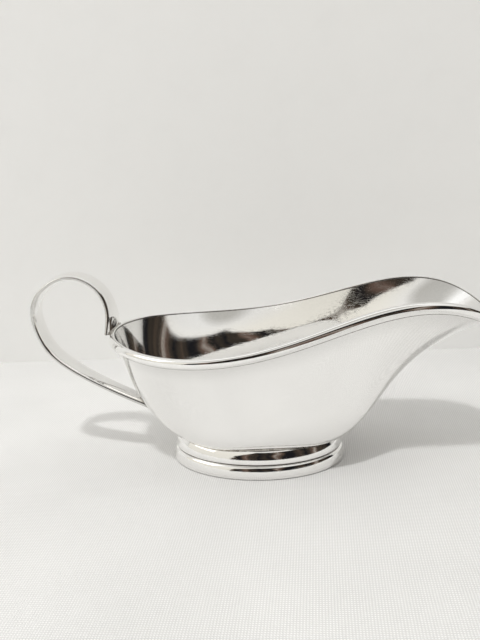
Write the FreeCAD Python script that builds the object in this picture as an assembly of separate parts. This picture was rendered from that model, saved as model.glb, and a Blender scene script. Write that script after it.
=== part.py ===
import FreeCAD, Part
import os
from math import cos, sin, pi

os.makedirs("parts", exist_ok=True)
V = FreeCAD.Vector

# Gravy boat of soldered, silver-plated sheet. Millimetres. The origin is the centre of the foot on the
# resting plane, +X points to the pouring lip, the handle is on the -X side, +Z is up.

# ---- bowl lines ----
# A line is one level ring of the hull. Each gives five values, at the handle end, the back quarter, the
# side, the front quarter and the lip tip: distance along the boat, and height. Half widths are given at
# the three middle places.
RIM_ALONG = (-65.3, -25, 37, 84.5, 103)
RIM_HALF = (40.5, 30, 25)
RIM_HEIGHT = (61, 57.5, 69.5, 75.5, 64.5)
SHOULDER_ALONG = (-60.5, -35, 16, 57.5, 74.5)
SHOULDER_HALF = (25, 29, 14)
SHOULDER_HEIGHT = (41, 39.5, 42, 57, 54)
BELLY_ALONG = (-51, -28.5, 4.5, 46.5, 54)
BELLY_HALF = (26, 35, 24)
BELLY_HEIGHT = (20, 14, 18, 21, 28.5)
KEEL_ALONG = (-37, -23, -1.5, 31.5, 35)
KEEL_HALF = (18, 23, 18.5)
KEEL_HEIGHT = 10.5
FLAT_SHARE = 0.55          # size of the flat oval in the bottom, as a share of the keel line
WALL = 1.2                 # sheet thickness
DISH_HEIGHT = 45.5         # bottom of the dished mouth of the block that trims the other pieces

# ---- applied rim moulding: outward and downward from the outer edge of the lip ----
BEAD_TOP = -1.2
BEAD_OUT = 2.2
BEAD_LOW = 1.8
GROOVE_OUT = 0.3
APRON_OUT = 0.5
APRON_LOW = 4.2
MOULD_LOW = 4.6
EDGE_SHOW = 0.1            # strip of sheet edge left bare on the inside

# ---- foot: oval collet of two rounded bands with a groove between them ----
FOOT_LONG = 39.0           # half length at the widest point of the base band
FOOT_WIDE = 27.0           # half width there
BAND_HIGH = 6.2            # top of the base band
COLLAR_HIGH = 12.6         # top of the upper band
NECK_IN = 2.6              # how far inside the base band the upper one ends
NECK_TOP = 16.0            # above the hull's underside, which trims it
FOOT_SHEET = 1.2

# ---- handle strap ----
STRAP_ALONG = (-65, -64.4, -64.3, -68.5, -83.5, -101.3, -99.8, -89, -48)
STRAP_HEIGHT = (61.3, 66.5, 71.5, 82.3, 89.3, 77.2, 59.3, 42.2, 24.5)
STRAP_WIDTH = (20.5, 18, 12.5, 11, 11, 11.5, 12, 11, 9)
STRAP_THICK = 3.0

SEAM = 0.5                 # how far the solder stands out of a joint
UPPER_JOINT = ((-80, -20, 55), (-50, 20, 70))  # room round the strap's lap on the rim
LOWER_JOINT = ((-70, -20, 15), (-40, 20, 45))  # room round the strap's end on the back wall

STATIONS = 24              # control points round every closed ring
GAIN = 6 / (4 + 2 * cos(2 * pi / STATIONS))    # puts a ring's curve on its stated size


def even_blend(values, t):
    """Smooth closed curve through five values, the same on both sides of the boat."""
    total = 0
    for k in range(5):
        level = 0
        for j, value in enumerate(values):
            level += value * cos(k * j * pi / 4) * (0.5 if j in (0, 4) else 1)
        total += level * cos(k * t) * (0.25 if k in (0, 4) else 0.5)
    return total


def odd_blend(values, t):
    """Smooth closed curve through three values, mirrored to the other side of the boat."""
    total = 0
    for k in (1, 2, 3):
        level = 0
        for j, value in enumerate(values):
            level += value * sin(k * (j + 1) * pi / 4)
        total += level * sin(k * t) * 0.5
    return total


def stations():
    return [2 * pi * (i - 1) / STATIONS for i in range(STATIONS)]


def hull_ring(along, half, height):
    """Control ring of one hull line."""
    ring = []
    for t in stations():
        ring.append(V(even_blend(along, t), odd_blend(half, t), even_blend(height, t)))
    return ring


def hull_rings():
    """Control rings of the outer skin, from the flat bottom up to the rim."""
    keel = hull_ring(KEEL_ALONG, KEEL_HALF, (KEEL_HEIGHT,) * 5)
    flat = [V(p.x * FLAT_SHARE, p.y * FLAT_SHARE, p.z) for p in keel]
    belly = hull_ring(BELLY_ALONG, BELLY_HALF, BELLY_HEIGHT)
    shoulder = hull_ring(SHOULDER_ALONG, SHOULDER_HALF, SHOULDER_HEIGHT)
    rim = hull_ring(RIM_ALONG, RIM_HALF, RIM_HEIGHT)
    return [flat, keel, belly, shoulder, rim]


def skin(rings, degree):
    """Smooth surface through a stack of closed control rings, clamped at the first and last."""
    spans = len(rings) - degree
    poles = [[ring[i] for ring in rings] for i in range(STATIONS)]
    rows = [float(i) / spans for i in range(spans + 1)]
    row_mults = [degree + 1] + [1] * (spans - 1) + [degree + 1]
    surface = Part.BSplineSurface()
    surface.buildFromPolesMultsKnots(
        poles, [1] * (STATIONS + 1), row_mults, [float(i) for i in range(STATIONS + 1)], rows,
        True, False, 3, degree)
    return surface


def ring_curve(ring):
    """Smooth closed curve shaped by a ring of control points."""
    count = len(ring)
    curve = Part.BSplineCurve()
    curve.buildFromPolesMultsKnots(ring, [1] * (count + 1), [float(i) for i in range(count + 1)], True, 3)
    return curve


def ring_cap(ring):
    return Part.Face(Part.Wire([ring_curve(ring).toShape()]))


def closed_solid(faces):
    shell = Part.makeShell(faces)
    shell.sewShape()
    solid = Part.makeSolid(shell)
    if solid.Volume < 0:
        solid.reverse()
    return solid


def offset_rings(rings, distance):
    """The same rings moved outward along the hull's surface by a distance."""
    surface = skin(rings, 3)
    levels = (0, 1 / 6, 1 / 2, 5 / 6, 1)
    side = -1 if surface.normal(0, 0).z > 0 else 1
    moved = []
    for ring, level in zip(rings, levels):
        new_ring = []
        for i, point in enumerate(ring):
            normal = surface.normal((i - 1) % STATIONS, level)
            new_ring.append(point + normal * side * distance)
        moved.append(new_ring)
    return moved


def hull_block(rings):
    """Solid block filling one hull skin, dished at the mouth so that it stays below the rim."""
    rim = rings[-1]
    mouth = [V(p.x * 0.5, p.y * 0.5, DISH_HEIGHT) for p in rim]
    faces = [skin(rings, 3).toShape(), ring_cap(rings[0])]
    faces += [skin([rim, mouth], 1).toShape(), ring_cap(mouth)]
    return closed_solid(faces)


def make_bowl():
    """One raised sheet: outer skin, inner skin, flat oval bottoms and the cut edge of the lip."""
    outer = hull_rings()
    inner = offset_rings(outer, -WALL)
    lip = skin([outer[-1], inner[-1]], 1)
    faces = [skin(outer, 3).toShape(), ring_cap(outer[0])]
    faces += [skin(inner, 3).toShape(), ring_cap(inner[0]), lip.toShape()]
    return closed_solid(faces)


def unit(vector):
    return vector * (1 / vector.Length)


def rim_frames():
    """Outward and downward directions at every station of the rim."""
    rings = hull_rings()
    rim = rings[-1]
    surface = skin(rings, 3)
    side = -1 if surface.normal(0, 0).z > 0 else 1
    frames = []
    for i, point in enumerate(rim):
        outward = surface.normal((i - 1) % STATIONS, 1) * side
        run = rim[(i + 1) % STATIONS] - rim[i - 1]
        downward = unit(outward.cross(run))
        if downward.z > 0:
            downward = downward * -1
        frames.append((point, outward, downward))
    return frames


def mould_patch(frames, corners):
    """Band of moulding through control corners given as (outward, downward)."""
    rings = []
    for out, down in corners:
        rings.append([point + outward * out + downward * down for point, outward, downward in frames])
    return skin(rings, len(corners) - 1).toShape()


def mould_profile(grow=0):
    """Closed profile of the rim moulding, as arcs and straights of control corners."""
    top = BEAD_TOP - grow
    out = BEAD_OUT + grow
    apron = APRON_OUT + grow
    low = MOULD_LOW + grow
    start = (EDGE_SHOW - WALL, -0.05)
    crown = (0.1, top)
    brow = (out, 0.7)
    under = (apron + 0.1, BEAD_LOW)
    shelf = (apron, BEAD_LOW + 0.5)
    hem = (apron - 0.05, APRON_LOW)
    toe = (grow, low)
    return [
        [start, (start[0], top), crown],
        [crown, (0.9, top), (out - 0.45, -0.25), brow],
        [brow, (out + 0.18, 1.1), (out - 0.1, BEAD_LOW), under],
        [under, (GROOVE_OUT + grow, BEAD_LOW + 0.2), shelf],
        [shelf, (apron + 0.1, BEAD_LOW + 1.6), hem],
        [hem, (apron - 0.1, low), toe],
        [toe, (-WALL / 2, low + 0.1)],
        [(-WALL / 2, low + 0.1), (-WALL / 2, 0.8)],
        [(-WALL / 2, 0.8), start],
    ]


def mould_ring(grow=0):
    """The whole moulding as one closed ring, grown outward for its solder."""
    frames = rim_frames()
    return closed_solid([mould_patch(frames, arc) for arc in mould_profile(grow)])


def make_rim_wire(bowl):
    """Moulded wire lapped over the cut edge and down the outside of the wall."""
    return mould_ring().cut(bowl)


def foot_ring(out, height):
    """Control ring of the foot, a distance outside its widest oval, at a height."""
    ring = []
    for t in stations():
        across = V(FOOT_WIDE * cos(t), FOOT_LONG * sin(t), 0)
        outward = unit(V(-across.x, across.y, 0))
        point = V(-FOOT_LONG * cos(t), FOOT_WIDE * sin(t), 0)
        spot = point + outward * out
        ring.append(V(spot.x * GAIN, spot.y * GAIN, height))
    return ring


def collar_arc(grow=0):
    """Rounded side of the foot's upper band, grown outward and upward for its solder."""
    corners = [
        (-0.8, BAND_HIGH + 1.4),
        (-0.95, COLLAR_HIGH - 3.4),
        (-1.6, COLLAR_HIGH - 1.4),
        (-NECK_IN, COLLAR_HIGH),
    ]
    return [(out + grow, height + grow * 0.4) for out, height in corners]


def foot_profile():
    """Outside from the resting edge up to the neck, then down the hollow inside.
    Heights run from b, the top of the base band, and c, the top of the upper band."""
    b = BAND_HIGH
    c = COLLAR_HIGH
    neck = -NECK_IN
    inside = neck - FOOT_SHEET
    collar = collar_arc()
    return [
        [(-0.7, 0), (0.25, 0.3), (0.38, b - 5.0), (0.35, b - 4.2)],
        [(0.35, b - 4.2), (0.28, b - 3.0), (0.08, b - 2.2), (-0.15, b - 1.4)],
        [(-0.15, b - 1.4), (-0.4, b - 0.55), (-0.8, b - 0.1), (-1.3, b)],
        [(-1.3, b), (-1.9, b + 0.15), (-1.5, b + 0.4)],
        [(-1.5, b + 0.4), (-0.9, b + 0.5), (-0.72, b + 0.8), collar[0]],
        collar,
        [(neck, c), (neck, NECK_TOP)],
        [(neck, NECK_TOP), (inside, NECK_TOP)],
        [(inside, NECK_TOP), (inside, c - 2.4)],
        [(inside, c - 2.4), (inside, b + 1.8), (inside + 0.6, b - 0.7), (-2.2, b - 2.2)],
        [(-2.2, b - 2.2), (-2.2, 0)],
        [(-2.2, 0), (-0.7, 0)],
    ]


def ring_washer(ring_a, ring_b):
    """Flat face between two level rings."""
    wires = [Part.Wire([ring_curve(ring).toShape()]) for ring in (ring_a, ring_b)]
    return Part.Face(wires, "Part::FaceMakerBullseye")


def foot_solid(profile):
    """Closed ring swept round the oval of the foot through a profile."""
    faces = []
    for arc in profile:
        rings = [foot_ring(out, height) for out, height in arc]
        if len({height for out, height in arc}) == 1:
            faces.append(ring_washer(rings[0], rings[-1]))
        else:
            faces.append(skin(rings, len(arc) - 1).toShape())
    return closed_solid(faces)


def make_foot(block):
    """Collet foot, its neck trimmed to the underside of the bowl."""
    return foot_solid(foot_profile()).cut(block)


def strap_section(width, thick):
    """Control points of the strap's section: nearly flat inside, round edges, domed outside."""
    half = width / 2
    side = [(0.55, -0.52), (0.93, -0.40), (1.05, -0.02), (0.92, 0.38), (0.5, 0.60)]
    points = [(0, -0.55)] + side + [(0, 0.66)]
    points += [(-across, up) for across, up in reversed(side)]
    return [(across * half, up * thick) for across, up in points]


def strap_axis():
    return [V(x, 0, z) for x, z in zip(STRAP_ALONG, STRAP_HEIGHT)]


def strap_solid(grow=0):
    """Strap swept along its loop, wider where it is lapped on the rim."""
    axis = strap_axis()
    last = len(axis) - 1
    rings = []
    for i, point in enumerate(axis):
        run = axis[min(i + 1, last)] - axis[max(i - 1, 0)]
        outward = unit(V(-run.z, 0, run.x))
        section = strap_section(STRAP_WIDTH[i] + 2 * grow, STRAP_THICK + 2 * grow)
        rings.append([point + V(0, y, 0) + outward * n for y, n in section])
    count = len(rings[0])
    poles = [[ring[k] for ring in rings] for k in range(count)]
    spans = len(rings) - 3
    surface = Part.BSplineSurface()
    surface.buildFromPolesMultsKnots(
        poles, [1] * (count + 1), [4] + [1] * (spans - 1) + [4],
        [float(i) for i in range(count + 1)], [float(i) for i in range(spans + 1)],
        True, False, 3, 3)
    return closed_solid([surface.toShape(), ring_cap(rings[0]), ring_cap(rings[-1])])


def make_handle(block, rim_wire, bowl):
    """Strap with its ends trimmed to the rim moulding and to the back wall."""
    return strap_solid().cut(block).cut(rim_wire).cut(bowl)


def box_round(low, high):
    size = V(*high) - V(*low)
    return Part.makeBox(size.x, size.y, size.z, V(*low))


def make_foot_seam(block, swollen, foot):
    """Solder line in the corner between the top of the foot and the bowl."""
    arc = collar_arc(SEAM)
    low = arc[0][1]
    near = -NECK_IN - 0.3
    far = arc[-1][0]
    collar = [
        arc,
        [arc[-1], (far, NECK_TOP)],
        [(far, NECK_TOP), (near, NECK_TOP)],
        [(near, NECK_TOP), (near, low)],
        [(near, low), arc[0]],
    ]
    return foot_solid(collar).common(swollen).cut(block).cut(foot)


def make_handle_seams(block, swollen, rim_wire, handle, bowl):
    """Solder round the strap's two ends, at the rim and on the back wall."""
    wide = strap_solid(SEAM)
    upper = wide.common(mould_ring(SEAM)).common(box_round(*UPPER_JOINT))
    lower = wide.common(swollen).common(box_round(*LOWER_JOINT))
    upper = upper.cut(block).cut(rim_wire).cut(handle).cut(bowl)
    lower = lower.cut(block).cut(handle)
    return upper, lower


def save(name, shape):
    """Write one node, without empty or hair-thin leftovers of trimming."""
    solids = [s for s in shape.Solids if s.Volume > 0.01]
    print(name, shape.isValid(), len(shape.Solids), [round(s.Volume, 3) for s in shape.Solids])
    result = solids[0] if len(solids) == 1 else Part.makeCompound(solids)
    result.exportStep("parts/" + name + ".step")


hull = hull_rings()
block = hull_block(hull)
swollen = hull_block(offset_rings(hull, SEAM))
bowl = make_bowl()
rim_wire = make_rim_wire(bowl)
foot = make_foot(block)
handle = make_handle(block, rim_wire, bowl)
upper_seam, lower_seam = make_handle_seams(block, swollen, rim_wire, handle, bowl)

save("bowl", bowl)
save("rim_wire", rim_wire)
save("foot", foot)
save("handle", handle)
save("foot_seam", make_foot_seam(block, swollen, foot))
save("handle_seam_upper", upper_seam)
save("handle_seam_lower", lower_seam)
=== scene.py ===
from math import cos, pi, radians, sin

import bpy
import numpy as np
from mathutils import Matrix, Vector
from mathutils.bvhtree import BVHTree


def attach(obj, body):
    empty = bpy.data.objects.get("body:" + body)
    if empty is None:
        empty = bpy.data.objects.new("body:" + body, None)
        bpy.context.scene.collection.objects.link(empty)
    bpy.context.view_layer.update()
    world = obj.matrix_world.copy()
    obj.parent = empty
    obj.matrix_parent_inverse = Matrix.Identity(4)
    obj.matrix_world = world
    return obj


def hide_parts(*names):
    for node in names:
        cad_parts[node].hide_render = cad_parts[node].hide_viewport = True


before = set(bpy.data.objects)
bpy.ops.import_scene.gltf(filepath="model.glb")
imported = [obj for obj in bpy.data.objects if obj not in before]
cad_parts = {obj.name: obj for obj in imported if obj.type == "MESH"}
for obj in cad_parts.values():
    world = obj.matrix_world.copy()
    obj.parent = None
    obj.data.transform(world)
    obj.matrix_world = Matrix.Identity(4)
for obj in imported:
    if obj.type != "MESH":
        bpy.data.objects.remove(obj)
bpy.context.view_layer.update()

MM = 0.001

# ------------------------------------------------------------------ driving dimensions, in millimetres
# Hull lines: values at the handle end, the back quarter, the side, the front quarter and the lip tip.
RIM_ALONG = (-65.3, -25, 37, 84.5, 103)
RIM_HALF = (40.5, 30, 25)
RIM_HEIGHT = (61, 57.5, 69.5, 75.5, 64.5)
SHOULDER_ALONG = (-60.5, -35, 16, 57.5, 74.5)
SHOULDER_HALF = (25, 29, 14)
SHOULDER_HEIGHT = (41, 39.5, 42, 57, 54)
BELLY_ALONG = (-51, -28.5, 4.5, 46.5, 54)
BELLY_HALF = (26, 35, 24)
BELLY_HEIGHT = (20, 14, 18, 21, 28.5)
KEEL_ALONG = (-37, -23, -1.5, 31.5, 35)
KEEL_HALF = (18, 23, 18.5)
KEEL_HEIGHT = 10.5
FLAT_SHARE = 0.55
WALL = 1.2

# Rim moulding: outward and downward from the outer edge of the lip.
BEAD_TOP = -1.2
BEAD_OUT = 2.2
BEAD_LOW = 1.8
GROOVE_OUT = 0.3
APRON_OUT = 0.5
APRON_LOW = 4.2
MOULD_LOW = 4.6
EDGE_SHOW = 0.1

# Foot.
FOOT_LONG = 39.0
FOOT_WIDE = 27.0
BAND_HIGH = 6.2
COLLAR_HIGH = 12.6
NECK_IN = 2.6
NECK_TOP = 16.0
FOOT_SHEET = 1.2

# Handle strap.
STRAP_ALONG = (-65, -64.4, -64.3, -68.5, -83.5, -101.3, -99.8, -89, -48)
STRAP_HEIGHT = (61.3, 66.5, 71.5, 82.3, 89.3, 77.2, 59.3, 42.2, 24.5)
STRAP_WIDTH = (20.5, 18, 12.5, 11, 11, 11.5, 12, 11, 9)
STRAP_THICK = 3.0

STATIONS = 24
GAIN = 6 / (4 + 2 * cos(2 * pi / STATIONS))
BITE = 0.5                 # how far a trimmed end reaches into the sheet it is soldered to


# ------------------------------------------------------------------ curves
def even_blend(values, t):
    """Smooth closed curve through five values, the same on both sides of the boat."""
    total = 0
    for k in range(5):
        level = sum(v * cos(k * j * pi / 4) * (0.5 if j in (0, 4) else 1) for j, v in enumerate(values))
        total += level * cos(k * t) * (0.25 if k in (0, 4) else 0.5)
    return total


def odd_blend(values, t):
    """Smooth closed curve through three values, mirrored to the other side of the boat."""
    total = 0
    for k in (1, 2, 3):
        level = sum(v * sin(k * (j + 1) * pi / 4) for j, v in enumerate(values))
        total += level * sin(k * t) * 0.5
    return total


def round_weights(places, count=STATIONS):
    """Weights of a closed cubic curve's control points at some places round it."""
    rows = np.zeros((len(places), count))
    for row, place in zip(rows, places):
        first = int(np.floor(place))
        f = place - first
        parts = ((1 - f) ** 3, 3 * f ** 3 - 6 * f ** 2 + 4, -3 * f ** 3 + 3 * f ** 2 + 3 * f + 1, f ** 3)
        for step, part in enumerate(parts):
            row[(first - 1 + step) % count] += part / 6
    return rows


def end_weights(places, count, degree):
    """Weights of a curve's control points at places from 0 to 1; it starts and ends on its end points."""
    spans = count - degree
    knots = [0.0] * degree + [i / spans for i in range(spans + 1)] + [1.0] * degree
    rows = []
    for place in places:
        place = min(max(place, 0.0), 1.0 - 1e-9)
        level = [1.0 if knots[i] <= place < knots[i + 1] else 0.0 for i in range(len(knots) - 1)]
        for d in range(1, degree + 1):
            raised = []
            for i in range(len(level) - 1):
                value = 0.0
                if knots[i + d] > knots[i]:
                    value += (place - knots[i]) / (knots[i + d] - knots[i]) * level[i]
                if knots[i + d + 1] > knots[i + 1]:
                    value += (knots[i + d + 1] - place) / (knots[i + d + 1] - knots[i + 1]) * level[i + 1]
                raised.append(value)
            level = raised
        rows.append(level)
    return np.array(rows)


def unit(vectors):
    return vectors / np.linalg.norm(vectors, axis=-1, keepdims=True)


# ------------------------------------------------------------------ hull
def hull_ring(along, half, height):
    turns = [2 * pi * i / STATIONS for i in range(STATIONS)]
    return np.array([(even_blend(along, t), odd_blend(half, t), even_blend(height, t)) for t in turns])


def hull_rings():
    keel = hull_ring(KEEL_ALONG, KEEL_HALF, (KEEL_HEIGHT,) * 5)
    flat = keel * (FLAT_SHARE, FLAT_SHARE, 1)
    belly = hull_ring(BELLY_ALONG, BELLY_HALF, BELLY_HEIGHT)
    shoulder = hull_ring(SHOULDER_ALONG, SHOULDER_HALF, SHOULDER_HEIGHT)
    return np.array([flat, keel, belly, shoulder, hull_ring(RIM_ALONG, RIM_HALF, RIM_HEIGHT)])


def skin(rings, rounds, levels, degree=3):
    """Points of the surface through a stack of closed control rings, one row for each level."""
    across = end_weights(levels, len(rings), degree)
    return np.einsum("lr,rsc,ks->lkc", across, rings, round_weights(rounds))


def outward_normals(rings, rounds, level):
    """Directions pointing out of the hull at places round one level."""
    step = 1e-4
    low, high = max(level - step, 0), min(level + step, 1)
    near = skin(rings, rounds, [low, high])
    ahead = skin(rings, [r + step for r in rounds], [level])[0]
    behind = skin(rings, [r - step for r in rounds], [level])[0]
    normals = unit(np.cross(near[1] - near[0], ahead - behind))
    centre = np.array([rings[..., 0].mean(), 0, rings[..., 2].max() + 60])
    outer = skin(rings, rounds, [level])[0]
    facing = np.einsum("kc,kc->k", normals, outer - centre)
    return normals * np.where(facing < 0, -1, 1)[:, None]


def offset_rings(rings, distance):
    """The same rings moved outward along the hull's surface by a distance."""
    places = list(range(STATIONS))
    levels = (0, 1 / 6, 1 / 2, 5 / 6, 1)
    moves = [outward_normals(rings, places, level) for level in levels]
    return rings + np.array(moves) * distance


# ------------------------------------------------------------------ meshes
def even(count, size=1.0):
    return [size * i / count for i in range(count)]


def rows_between(count):
    return [i / count for i in range(count + 1)]


def stitched(rows, around, closed=False):
    """Quads between neighbouring rows of points, each row running once round."""
    faces = []
    last = rows if closed else rows - 1
    for r in range(last):
        for k in range(around):
            a, b = r * around, (r + 1) % rows * around
            n = (k + 1) % around
            faces.append((a + k, a + n, b + n, b + k))
    return faces


def shrunk_cap(ring, shares):
    """Rows that close a ring towards its middle."""
    middle = ring.mean(0)
    return [middle + (ring - middle) * share for share in shares]


def build_piece(name, points, faces, tone, crease=32):
    """A mesh object in metres with smooth faces, creases where it turns sharply, and a tone per point."""
    mesh = bpy.data.meshes.new(name)
    mesh.from_pydata((np.asarray(points) * MM).tolist(), [], faces)
    mesh.validate()
    layer = mesh.attributes.new("tone", "FLOAT", "POINT")
    layer.data.foreach_set("value", np.asarray(tone, np.float32))
    mesh.shade_smooth()
    mesh.set_sharp_from_angle(angle=radians(crease))
    thing = bpy.data.objects.new(name, mesh)
    bpy.context.scene.collection.objects.link(thing)
    bpy.context.view_layer.update()
    turned_in = sum(p.center.dot(p.normal) * p.area for p in mesh.polygons) < 0
    if turned_in:
        mesh.flip_normals()
    return thing


def closed_piece(name, rows, tones, crease=32):
    """Piece whose rows run round a closed profile."""
    rows = np.array(rows)
    count, around = rows.shape[:2]
    tone = np.repeat(np.asarray(tones, float), around)
    return build_piece(name, rows.reshape(-1, 3), stitched(count, around, True), tone, crease)


def capped_piece(name, rows, tones, crease=32):
    """Piece whose first and last rows are small rings closed by fans of triangles."""
    rows = np.array(rows)
    count, around = rows.shape[:2]
    points = np.concatenate([rows.reshape(-1, 3), [rows[0].mean(0)], [rows[-1].mean(0)]])
    faces = stitched(count, around)
    first, last = count * around, (count - 1) * around
    for k in range(around):
        n = (k + 1) % around
        faces.append((n, k, first))
        faces.append((last + k, last + n, first + 1))
    tone = np.zeros((count, around)) + np.reshape(tones, (count, -1))
    tone = np.concatenate([tone.ravel(), [tone[0, 0], tone[-1, 0]]])
    return build_piece(name, points, faces, tone, crease)


# ------------------------------------------------------------------ bowl
BOWL_ROUND = 288
BOWL_LEVELS = 56


def make_bowl():
    """Raised sheet: flat oval bottom, outer skin, edge of the lip, inner skin, flat inside."""
    outer = hull_rings()
    inner = offset_rings(outer, -WALL)
    rounds = even(BOWL_ROUND, STATIONS)
    levels = rows_between(BOWL_LEVELS)
    outside = skin(outer, rounds, levels)
    inside = skin(inner, rounds, levels)[::-1]
    shares = (0.12, 0.3, 0.5, 0.7, 0.86)
    rows = shrunk_cap(outside[0], shares) + list(outside)
    rows += [outside[-1] * 0.5 + inside[0] * 0.5]
    rows += list(inside) + shrunk_cap(inside[-1], shares[::-1])
    # Tone rises under the rim moulding and round the foot's joint: painted shade where the parts meet.
    near_rim = [max(0.0, (level - 0.9) * 5) for level in levels]
    near_foot = [max(0.0, 0.5 - abs(level - 0.12) * 7) for level in levels]
    skin_tone = [max(a, b) for a, b in zip(near_rim, near_foot)]
    floor_tone = [0.12] * len(shares)
    tones = floor_tone + skin_tone + [0.3] + [t * 0.5 for t in near_rim[::-1]] + floor_tone
    return capped_piece("bowl_shell", rows, tones)


def wall_finder(bowl):
    """Search tree over the bowl's mesh, in metres."""
    points = [v.co.copy() for v in bowl.data.vertices]
    return BVHTree.FromPolygons(points, [tuple(p.vertices) for p in bowl.data.polygons])


# ------------------------------------------------------------------ rim moulding
RIM_ROUND = 480


def mould_profile():
    """Closed profile of the moulding: control corners of each band, points along it, and its tone.
    The bands with a high tone are the inner edge, the groove and the line at the wall. They are painted shade
    where the moulding meets the bowl, and a painted dark reflection under the bead over a little old polish
    in the groove."""
    top, out, low, apron = BEAD_TOP, BEAD_OUT, MOULD_LOW, APRON_OUT
    start = (EDGE_SHOW - WALL, -0.05)
    crown = (0.1, top)
    brow = (out, 0.7)
    under = (apron + 0.1, BEAD_LOW)
    shelf = (apron, BEAD_LOW + 0.5)
    hem = (apron - 0.05, APRON_LOW)
    toe = (0, low)
    return [
        # Inner edge where the bead meets the bowl: painted shade.
        ([start, (start[0], top * 0.6)], 3, 0.9),
        ([(start[0], top * 0.6), (start[0], top), crown], 7, 0.1),
        ([crown, (0.9, top), (out - 0.45, -0.25), brow], 18, 0.0),
        ([brow, (out + 0.18, 1.1), (out - 0.1, BEAD_LOW), under], 12, 0.1),
        # Groove under the bead: painted dark reflection, with a little old polish.
        ([under, (GROOVE_OUT, BEAD_LOW + 0.2), shelf], 4, 1.0),
        ([shelf, (apron + 0.1, BEAD_LOW + 1.6), hem], 8, 0.1),
        # Line where the apron meets the bowl's wall: painted shade.
        ([hem, (apron - 0.1, low), toe], 5, 0.9),
        ([toe, (-WALL / 2, low + 0.1)], 1, 0.6),
        ([(-WALL / 2, low + 0.1), (-WALL / 2, 0.8)], 2, 0.3),
        ([(-WALL / 2, 0.8), start], 1, 0.3),
    ]


def rim_frames():
    """Control points of the lip's edge, with the outward and downward directions there."""
    rings = hull_rings()
    rim = rings[-1]
    outward = outward_normals(rings, list(range(STATIONS)), 1)
    run = np.roll(rim, -1, axis=0) - np.roll(rim, 1, axis=0)
    downward = unit(np.cross(outward, run))
    downward *= np.where(downward[:, 2] > 0, -1, 1)[:, None]
    return rim, outward, downward


def make_rim_wire():
    rim, outward, downward = rim_frames()
    rounds = round_weights(even(RIM_ROUND, STATIONS))
    rows, tones = [], []
    for corners, count, tone in mould_profile():
        rings = np.array([rim + outward * out + downward * down for out, down in corners])
        across = end_weights(even(count), len(corners), len(corners) - 1)
        rows += list(np.einsum("lr,rsc,ks->lkc", across, rings, rounds))
        tones += [tone] * count
    return closed_piece("rim_moulding", rows, tones, crease=40)


# ------------------------------------------------------------------ foot
FOOT_ROUND = 320


def foot_ring(out, height):
    """Control ring of the foot, a distance outside its widest oval, at a height."""
    ring = []
    for i in range(STATIONS):
        t = 2 * pi * i / STATIONS
        outward = unit(np.array([-FOOT_WIDE * cos(t), FOOT_LONG * sin(t)]))
        spot = np.array([-FOOT_LONG * cos(t), FOOT_WIDE * sin(t)]) + outward * out
        ring.append((spot[0] * GAIN, spot[1] * GAIN, height))
    return np.array(ring)


def foot_profile():
    """Control corners, points and tone of each band: outside from the resting edge up to the neck, then
    down the hollow inside."""
    b, c = BAND_HIGH, COLLAR_HIGH
    neck = -NECK_IN
    inside = neck - FOOT_SHEET
    collar = [(-0.8, b + 1.4), (-0.95, c - 3.4), (-1.6, c - 1.4), (neck, c)]
    return [
        # Resting edge on the table: painted contact shadow.
        ([(-0.7, 0), (-0.3, 0.05), (0.02, 0.32)], 3, 0.9),
        ([(0.02, 0.32), (0.28, 0.6), (0.38, b - 5.0), (0.35, b - 4.2)], 10, 0.08),
        ([(0.35, b - 4.2), (0.28, b - 3.0), (0.08, b - 2.2), (-0.15, b - 1.4)], 10, 0.0),
        ([(-0.15, b - 1.4), (-0.4, b - 0.55), (-0.8, b - 0.1), (-1.3, b)], 10, 0.0),
        ([(-1.3, b), (-1.9, b + 0.15), (-1.5, b + 0.4)], 4, 1.0),
        ([(-1.5, b + 0.4), (-0.9, b + 0.5), (-0.72, b + 0.8), collar[0]], 8, 0.05),
        (collar, 18, 0.0),
        # Neck where the foot meets the bowl: painted shade.
        ([(neck, c), (neck - 0.3, NECK_TOP)], 4, 0.7),
        ([(neck - 0.3, NECK_TOP), (inside, NECK_TOP)], 2, 0.4),
        ([(inside, NECK_TOP), (inside, c - 2.4)], 5, 0.4),
        ([(inside, c - 2.4), (inside, b + 1.8), (inside + 0.6, b - 0.7), (-2.2, b - 2.2)], 12, 0.4),
        ([(-2.2, b - 2.2), (-2.2, 0)], 5, 0.4),
        ([(-2.2, 0), (-0.7, 0)], 2, 0.3),
    ]


def make_foot(walls):
    """Collet foot whose top runs up into the underside of the bowl."""
    rounds = round_weights(even(FOOT_ROUND, STATIONS))
    rows, tones = [], []
    for corners, count, tone in foot_profile():
        rings = np.array([foot_ring(out, height) for out, height in corners])
        across = end_weights(even(count), len(corners), len(corners) - 1)
        rows += list(np.einsum("lr,rsc,ks->lkc", across, rings, rounds))
        tones += [tone] * count
    rows = np.array(rows)
    for point in rows.reshape(-1, 3):
        if point[2] > COLLAR_HIGH - 2.5:
            below = Vector((point[0] * MM, point[1] * MM, 0))
            underside = walls.ray_cast(below, Vector((0, 0, 1)))[0].z / MM
            point[2] = min(point[2], underside + BITE)
    return closed_piece("foot_collet", rows, tones, crease=40)


# ------------------------------------------------------------------ handle strap
STRAP_ROUND = 72
STRAP_ROWS = 220


def strap_section(width, thick):
    """Control points of the strap's section: nearly flat inside, round edges, domed outside."""
    side = [(0.55, -0.52), (0.93, -0.40), (1.05, -0.02), (0.92, 0.38), (0.5, 0.60)]
    points = [(0, -0.55)] + side + [(0, 0.66)]
    points += [(-across, up) for across, up in reversed(side)]
    return [(across * width / 2, up * thick) for across, up in points]


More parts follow.
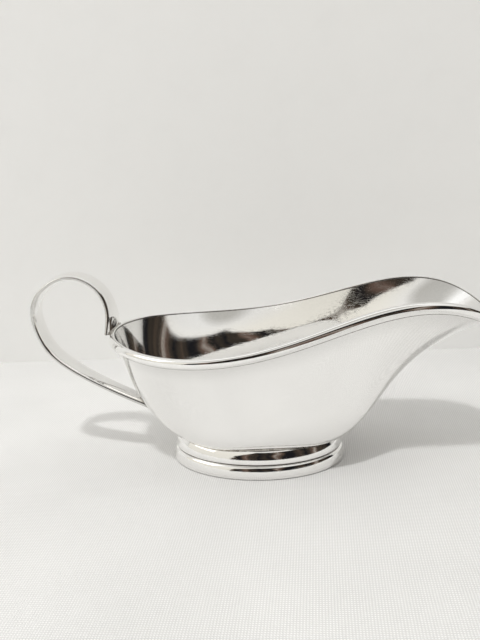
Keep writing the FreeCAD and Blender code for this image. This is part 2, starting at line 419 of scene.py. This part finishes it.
def strap_rings():
    axis = np.array([(x, 0.0, z) for x, z in zip(STRAP_ALONG, STRAP_HEIGHT)])
    last = len(axis) - 1
    rings = []
    for i, point in enumerate(axis):
        run = axis[min(i + 1, last)] - axis[max(i - 1, 0)]
        outward = unit(np.array([-run[2], 0.0, run[0]]))
        section = strap_section(STRAP_WIDTH[i], STRAP_THICK)
        rings.append([point + (0, y, 0) + outward * n for y, n in section])
    return np.array(rings)


def make_handle(walls):
    """Strap swept along its loop, its lower end run into the back wall of the bowl."""
    rings = strap_rings()
    lines = np.einsum("ks,rsc->krc", round_weights(even(STRAP_ROUND, len(rings[0])), len(rings[0])), rings)
    trial = rows_between(400)
    weights = end_weights(trial, len(rings), 3)
    columns = []
    for line in lines:
        stop = 1.0
        for place, point in zip(trial[300:], (weights @ line)[300:]):
            spot = Vector(point * MM)
            hit, normal, _, gap = walls.find_nearest(spot)
            if (spot - hit).dot(normal) < 0 and gap > BITE * MM:
                stop = place
                break
        columns.append(end_weights([stop * r for r in rows_between(STRAP_ROWS)], len(rings), 3) @ line)
    rows = np.array(columns).transpose(1, 0, 2)
    ends = [abs(2 * r / STRAP_ROWS - 1) for r in range(STRAP_ROWS + 1)]
    joints = np.clip((np.array(ends) - 0.93) * 8, 0, 1)[:, None]
    # Darker along the strap's rounded sides: painted shade and painted reflection. Darker at the ends: the
    # solder joints.
    reach = np.abs(rows[:, :, 1])
    edge_shade = np.clip((reach / reach.max(axis=1, keepdims=True) - 0.90) * 14, 0, 1)
    tones = 0.05 + np.maximum(joints, 0.55 * edge_shade)
    return capped_piece("handle_strap", rows, tones, crease=50)


# ------------------------------------------------------------------ materials
PLATE_CLEAR = (0.97, 0.966, 0.957)
PLATE_CLOUDED = (0.95, 0.944, 0.93)
# Dark brown mixed in where the tone runs high: partly old polish, partly painted shade and painted
# reflection.
POLISH_AND_SHADE = (0.075, 0.062, 0.048, 1)
SOLDER_DARK = (0.30, 0.28, 0.25)
SOLDER_LIGHT = (0.62, 0.60, 0.56)


def add(tree, kind, inputs=None, **settings):
    """New node with its settings and input values or links."""
    node = tree.nodes.new(kind)
    for name, value in settings.items():
        setattr(node, name, value)
    for name, value in (inputs or {}).items():
        if isinstance(value, bpy.types.NodeSocket):
            tree.links.new(value, node.inputs[name])
        else:
            node.inputs[name].default_value = value
    return node


def ramp(tree, factor, stops):
    """Colour ramp with the given (place, colour) stops."""
    node = add(tree, "ShaderNodeValToRGB", {"Fac": factor})
    elements = node.color_ramp.elements
    while len(elements) < len(stops):
        elements.new(0.5)
    for element, (place, colour) in zip(elements, stops):
        element.position = place
        element.color = (*colour, 1) if len(colour) == 3 else colour
    return node.outputs["Color"]


def math(tree, operation, a, b=0.0, clamp=False):
    return add(tree, "ShaderNodeMath", {0: a, 1: b}, operation=operation, use_clamp=clamp).outputs[0]


def mix_colour(tree, factor, a, b, blend="MIX"):
    node = add(tree, "ShaderNodeMix", data_type="RGBA", blend_type=blend)
    for name, value in (("Factor", factor), ("A", a), ("B", b)):
        socket = [s for s in node.inputs if s.name == name and s.enabled][0]
        if isinstance(value, bpy.types.NodeSocket):
            tree.links.new(value, socket)
        else:
            socket.default_value = value
    return [s for s in node.outputs if s.enabled][0]


def noise(tree, place, scale, detail=4.0, rough=0.5, stretch=(1, 1, 1), turn=(0, 0, 0)):
    mapped = add(tree, "ShaderNodeMapping", {"Vector": place, "Scale": stretch, "Rotation": turn}).outputs[0]
    inputs = {"Vector": mapped, "Scale": scale, "Detail": detail, "Roughness": rough}
    return add(tree, "ShaderNodeTexNoise", inputs).outputs[0]


def hairlines(tree, place, turn, density):
    """Thin polishing scratches running one way: bright where one runs, dark elsewhere."""
    streak = noise(tree, place, 90 * density, 2, 0.5, (0.05, 2.0, 2.0), turn)
    return ramp(tree, streak, [(0.60, (0, 0, 0)), (0.63, (1, 1, 1)), (0.66, (0, 0, 0))])


def new_material(name):
    """Fresh material with its node tree, its shader and coordinates fixed to the object."""
    material = bpy.data.materials.new(name)
    material.use_nodes = True
    tree = material.node_tree
    place = add(tree, "ShaderNodeTexCoord").outputs["Object"]
    return material, tree, tree.nodes["Principled BSDF"], place


def silver(name, shine, dark, wave, scratch_turns, scratch_depth=0.10):
    """Polished silver plate: soft waviness of worked sheet, polishing hairlines, cloudy wipe marks, and a
    darker, warmer coat where the tone runs high. This is partly old polish in grooves and at joints, and
    partly painted shade, painted contact shadow and painted reflection at joints, grooves, the strap's
    rounded sides and the resting edge."""
    material, tree, shader, place = new_material(name)
    tone = add(tree, "ShaderNodeAttribute", attribute_name="tone").outputs["Fac"]
    clouds = noise(tree, place, 26, 5, 0.55)
    specks = noise(tree, place, 900, 3, 0.6)
    # Darker, warmer coat set by the tone: old polish, plus painted shade and painted reflection at joints,
    # grooves and the strap's sides.
    polish_and_shade = math(tree, "MULTIPLY", tone, math(tree, "ADD", specks, 0.45), True)
    polish_and_shade = math(tree, "MULTIPLY", polish_and_shade, dark, True)
    plate = ramp(tree, clouds, [(0.32, PLATE_CLEAR), (0.70, PLATE_CLOUDED)])
    colour = mix_colour(tree, polish_and_shade, plate, POLISH_AND_SHADE)
    tree.links.new(colour, shader.inputs["Base Color"])
    wipes = noise(tree, place, 60, 6, 0.62, (0.35, 1, 1), (0.3, 0.5, 0.2))
    rough = math(tree, "ADD", math(tree, "MULTIPLY", wipes, shine * 1.1), shine * 0.5)
    rough = math(tree, "ADD", rough, math(tree, "MULTIPLY", polish_and_shade, 0.28))
    tree.links.new(rough, shader.inputs["Roughness"])
    height = math(tree, "MULTIPLY", noise(tree, place, 34, 2, 0.4), wave)
    for turn in scratch_turns:
        line = hairlines(tree, place, turn, 12)
        height = math(tree, "SUBTRACT", height, math(tree, "MULTIPLY", line, scratch_depth * 0.02))
    bump = add(tree, "ShaderNodeBump", {"Height": height, "Strength": 1.0, "Distance": 0.001})
    tree.links.new(bump.outputs[0], shader.inputs["Normal"])
    shader.inputs["Metallic"].default_value = 1.0
    return material


def solder(name):
    """Dull grey solder with a slightly lumpy skin."""
    material, tree, shader, place = new_material(name)
    lumps = noise(tree, place, 420, 4, 0.6)
    colour = ramp(tree, lumps, [(0.3, SOLDER_DARK), (0.7, SOLDER_LIGHT)])
    tree.links.new(colour, shader.inputs["Base Color"])
    rough = math(tree, "ADD", math(tree, "MULTIPLY", lumps, 0.25), 0.16)
    tree.links.new(rough, shader.inputs["Roughness"])
    bump = add(tree, "ShaderNodeBump", {"Height": lumps, "Strength": 0.5, "Distance": 0.0002})
    tree.links.new(bump.outputs[0], shader.inputs["Normal"])
    shader.inputs["Metallic"].default_value = 1.0
    return material


def dress(thing, material):
    thing.data.materials.clear()
    thing.data.materials.append(material)


# ------------------------------------------------------------------ the boat
bowl = make_bowl()
walls = wall_finder(bowl)
rim = make_rim_wire()
foot = make_foot(walls)
handle = make_handle(walls)

SCRATCH_TURNS = [(0.0, 0.0, 0.1), (0.0, 0.0, -0.15), (0.2, 0.3, 0.8)]
pieces = [
    (bowl, "bowl", "bowl_plate", silver("bowl_silver", 0.028, 0.5, 0.035, SCRATCH_TURNS)),
    (rim, "rim_wire", "rim_plate", silver("rim_silver", 0.040, 0.95, 0.010, SCRATCH_TURNS[:1])),
    (foot, "foot", "foot_plate", silver("foot_silver", 0.040, 0.85, 0.012, SCRATCH_TURNS[:2])),
    (handle, "handle", "handle_plate", silver("handle_silver", 0.050, 0.6, 0.015, SCRATCH_TURNS[:2])),
]
for piece, node, slot, material in pieces:
    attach(piece, "root")
    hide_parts(node)
    dress(piece, material)
seam_metal = solder("seam_solder")
for node in ("foot_seam", "handle_seam_upper", "handle_seam_lower"):
    dress(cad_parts[node], seam_metal)

# ------------------------------------------------------------------ stage
WALL_BACK = 0.150          # table's back edge, where it meets the wall, behind the boat's middle
WALL_TURN = radians(4.2)
STAGE_HALF = 2.0
THREADS = 320.0            # density of the cloth's weave
CLOTH_HOLLOW_SHADE = (0.69, 0.688, 0.682)
CLOTH_THREAD = (0.95, 0.948, 0.943)


def plane_piece(name, corners):
    mesh = bpy.data.meshes.new(name)
    mesh.from_pydata(corners, [], [(0, 1, 2, 3)])
    thing = bpy.data.objects.new(name, mesh)
    bpy.context.scene.collection.objects.link(thing)
    return thing


def cloth_material():
    """White table cloth with a fine plain weave. It is darker in the weave's hollows and in broad soft
    patches, which is painted shade.
    """
    material, tree, shader, place = new_material("table_cloth")
    threads = []
    for direction in ("X", "Y"):
        wave = add(tree, "ShaderNodeTexWave", {"Vector": place, "Scale": THREADS, "Distortion": 0.6},
                   wave_type="BANDS", bands_direction=direction)
        threads.append(wave.outputs["Fac"])
    weave = math(tree, "MULTIPLY", threads[0], threads[1])
    # Broad soft patches: painted shade of soft creases in the cloth.
    fold_shade = noise(tree, place, 9, 3, 0.5)
    shade = math(tree, "ADD", math(tree, "MULTIPLY", weave, 0.5), math(tree, "MULTIPLY", fold_shade, 0.5))
    # The weave's hollows take the darker colour: painted shade.
    colour = ramp(tree, shade, [(0.1, CLOTH_HOLLOW_SHADE), (0.7, CLOTH_THREAD)])
    tree.links.new(colour, shader.inputs["Base Color"])
    bump = add(tree, "ShaderNodeBump", {"Height": weave, "Strength": 0.35, "Distance": 0.0003})
    tree.links.new(bump.outputs[0], shader.inputs["Normal"])
    shader.inputs["Roughness"].default_value = 0.9
    return material


def wall_material():
    """Pale painted wall, seen from its front only."""
    material, tree, shader, place = new_material("pale_wall")
    grain = noise(tree, place, 45, 5, 0.6)
    colour = ramp(tree, grain, [(0.3, (0.935, 0.935, 0.925)), (0.7, (0.955, 0.955, 0.945))])
    tree.links.new(colour, shader.inputs["Base Color"])
    shader.inputs["Roughness"].default_value = 0.85
    back = add(tree, "ShaderNodeNewGeometry").outputs["Backfacing"]
    clear = add(tree, "ShaderNodeBsdfTransparent").outputs[0]
    both = add(tree, "ShaderNodeMixShader", {0: back})
    tree.links.new(shader.outputs[0], both.inputs[1])
    tree.links.new(clear, both.inputs[2])
    tree.links.new(both.outputs[0], tree.nodes["Material Output"].inputs["Surface"])
    return material


far = STAGE_HALF
table = plane_piece("table", [(-far, -far, 0), (far, -far, 0), (far, far, 0), (-far, far, 0)])
dress(table, cloth_material())
wall = plane_piece("wall", [(-far, 0, 0), (far, 0, 0), (far, 0, far), (-far, 0, far)])
wall.matrix_world = Matrix.Translation((0, WALL_BACK, 0)) @ Matrix.Rotation(WALL_TURN, 4, "Z")
dress(wall, wall_material())


LAMP_COLOUR = (1.0, 0.995, 0.985)
LAMP_AIM = Vector((0, 0, 0.04))


def soft_light(name, place, size, power):
    """Square soft light at a place, facing the boat."""
    lamp = bpy.data.lights.new(name, "AREA")
    lamp.size = size
    lamp.energy = power
    lamp.color = LAMP_COLOUR
    thing = bpy.data.objects.new(name, lamp)
    thing.location = place
    thing.rotation_euler = (LAMP_AIM - Vector(place)).to_track_quat("-Z", "Y").to_euler()
    bpy.context.scene.collection.objects.link(thing)
    return thing


key = soft_light("key", (-0.24, -0.85, 1.74), 0.12, 12.6)
key.visible_glossy = False          # it throws the shadow; mirrored, it would burn a spot in the lip
soft_light("side", (-1.10, -0.55, 0.80), 0.80, 1.6)


# The room in front of the boat. Turns are in degrees to the right of straight ahead, and heights are
# the sine of the angle above the table.
ROOM_LEFT, ROOM_RIGHT = 70, 150
SCREEN_TOP = [(-28, 0.0), (-24, 0.28), (-4, 0.60), (140, 0.60), (148, 0.0)]
SCREEN_STRIPES = 14
SCREEN_EDGE = 28.0         # sharpness of the screen's top edge
SCREEN_SHADES = [
    (0.44, (0.012, 0.012, 0.014)),
    (0.52, (0.05, 0.04, 0.03)),
    (0.58, (0.14, 0.09, 0.07)),
    (0.66, (0.35, 0.32, 0.28)),
]
ROOM_SHADES = [
    (0.0, (0.86, 0.83, 0.75)),
    (0.42, (0.93, 0.90, 0.82)),
    (0.70, (0.93, 0.92, 0.89)),
    (0.93, (1.02, 1.02, 1.00)),
    (0.97, (1.25, 1.25, 1.23)),
]
PLAIN_ROOM = (0.80, 0.79, 0.76, 1)
ROOM_WOBBLE = 0.06
ROOM_POWER = 0.90
DIM_CEILING = Vector((-0.10, -0.46, 0.88))


def place_in_room(turn):
    """Share of the way from the left end of the room to its right end."""
    return (turn + ROOM_LEFT) / (ROOM_LEFT + ROOM_RIGHT)


def make_room():
    """Light that the boat mirrors: a pale room with one dark, faintly striped screen in front of it and to
    the right, lower towards its left end. Looked at directly it is plain and pale."""
    world = bpy.data.worlds.new("room")
    world.use_nodes = True
    bpy.context.scene.world = world
    tree = world.node_tree
    direction = add(tree, "ShaderNodeTexCoord").outputs["Generated"]
    parts = add(tree, "ShaderNodeSeparateXYZ", {0: direction}).outputs
    turn = math(tree, "ARCTAN2", parts["X"], math(tree, "MULTIPLY", parts["Y"], -1.0))
    wobble = math(tree, "SUBTRACT", noise(tree, direction, 3.0, 1), 0.5)
    rise = math(tree, "ADD", parts["Z"], math(tree, "MULTIPLY", wobble, ROOM_WOBBLE))
    swing = math(tree, "DIVIDE", math(tree, "ADD", turn, radians(ROOM_LEFT)), radians(ROOM_LEFT + ROOM_RIGHT))
    along = math(tree, "ADD", swing, math(tree, "MULTIPLY", wobble, ROOM_WOBBLE))
    room = ramp(tree, rise, ROOM_SHADES)
    upright = add(tree, "ShaderNodeCombineXYZ", {0: along}).outputs["Vector"]
    screen = ramp(tree, noise(tree, upright, SCREEN_STRIPES, 2), SCREEN_SHADES)
    height = ramp(tree, along, [(place_in_room(turn), (tall, tall, tall)) for turn, tall in SCREEN_TOP])
    nearness = add(tree, "ShaderNodeVectorMath", {0: direction, 1: DIM_CEILING}, operation="DOT_PRODUCT")
    dim = ramp(tree, nearness.outputs["Value"], [(0.925, (1, 1, 1)), (0.975, (0.60, 0.59, 0.57))])
    room = mix_colour(tree, 1.0, room, dim, "MULTIPLY")
    over = math(tree, "SUBTRACT", height, rise)
    screened = math(tree, "MULTIPLY", over, SCREEN_EDGE, True)
    seen = mix_colour(tree, screened, room, screen)
    straight = add(tree, "ShaderNodeLightPath").outputs["Is Camera Ray"]
    seen = mix_colour(tree, straight, seen, PLAIN_ROOM)
    tree.links.new(seen, tree.nodes["Background"].inputs["Color"])
    tree.nodes["Background"].inputs["Strength"].default_value = ROOM_POWER


make_room()
bpy.context.scene.view_settings.view_transform = "Standard"

# ------------------------------------------------------------------ camera
EYE_PLACE = (0.0282, -0.2994, 0.1453)
EYE_TURN = 6.55            # degrees to the left of straight across the boat
EYE_DIP = 14.98            # degrees down
EYE_ROLL = -2.5

camera = bpy.data.cameras.new("camera")
camera.sensor_width = 36
camera.lens = 39.375
camera.clip_start = 0.01
eye = bpy.data.objects.new("camera", camera)
eye.matrix_world = (
    Matrix.Translation(EYE_PLACE)
    @ Matrix.Rotation(radians(EYE_TURN), 4, "Z")
    @ Matrix.Rotation(radians(90 - EYE_DIP), 4, "X")
    @ Matrix.Rotation(radians(EYE_ROLL), 4, "Z")
)
bpy.context.scene.collection.objects.link(eye)
bpy.context.scene.camera = eye
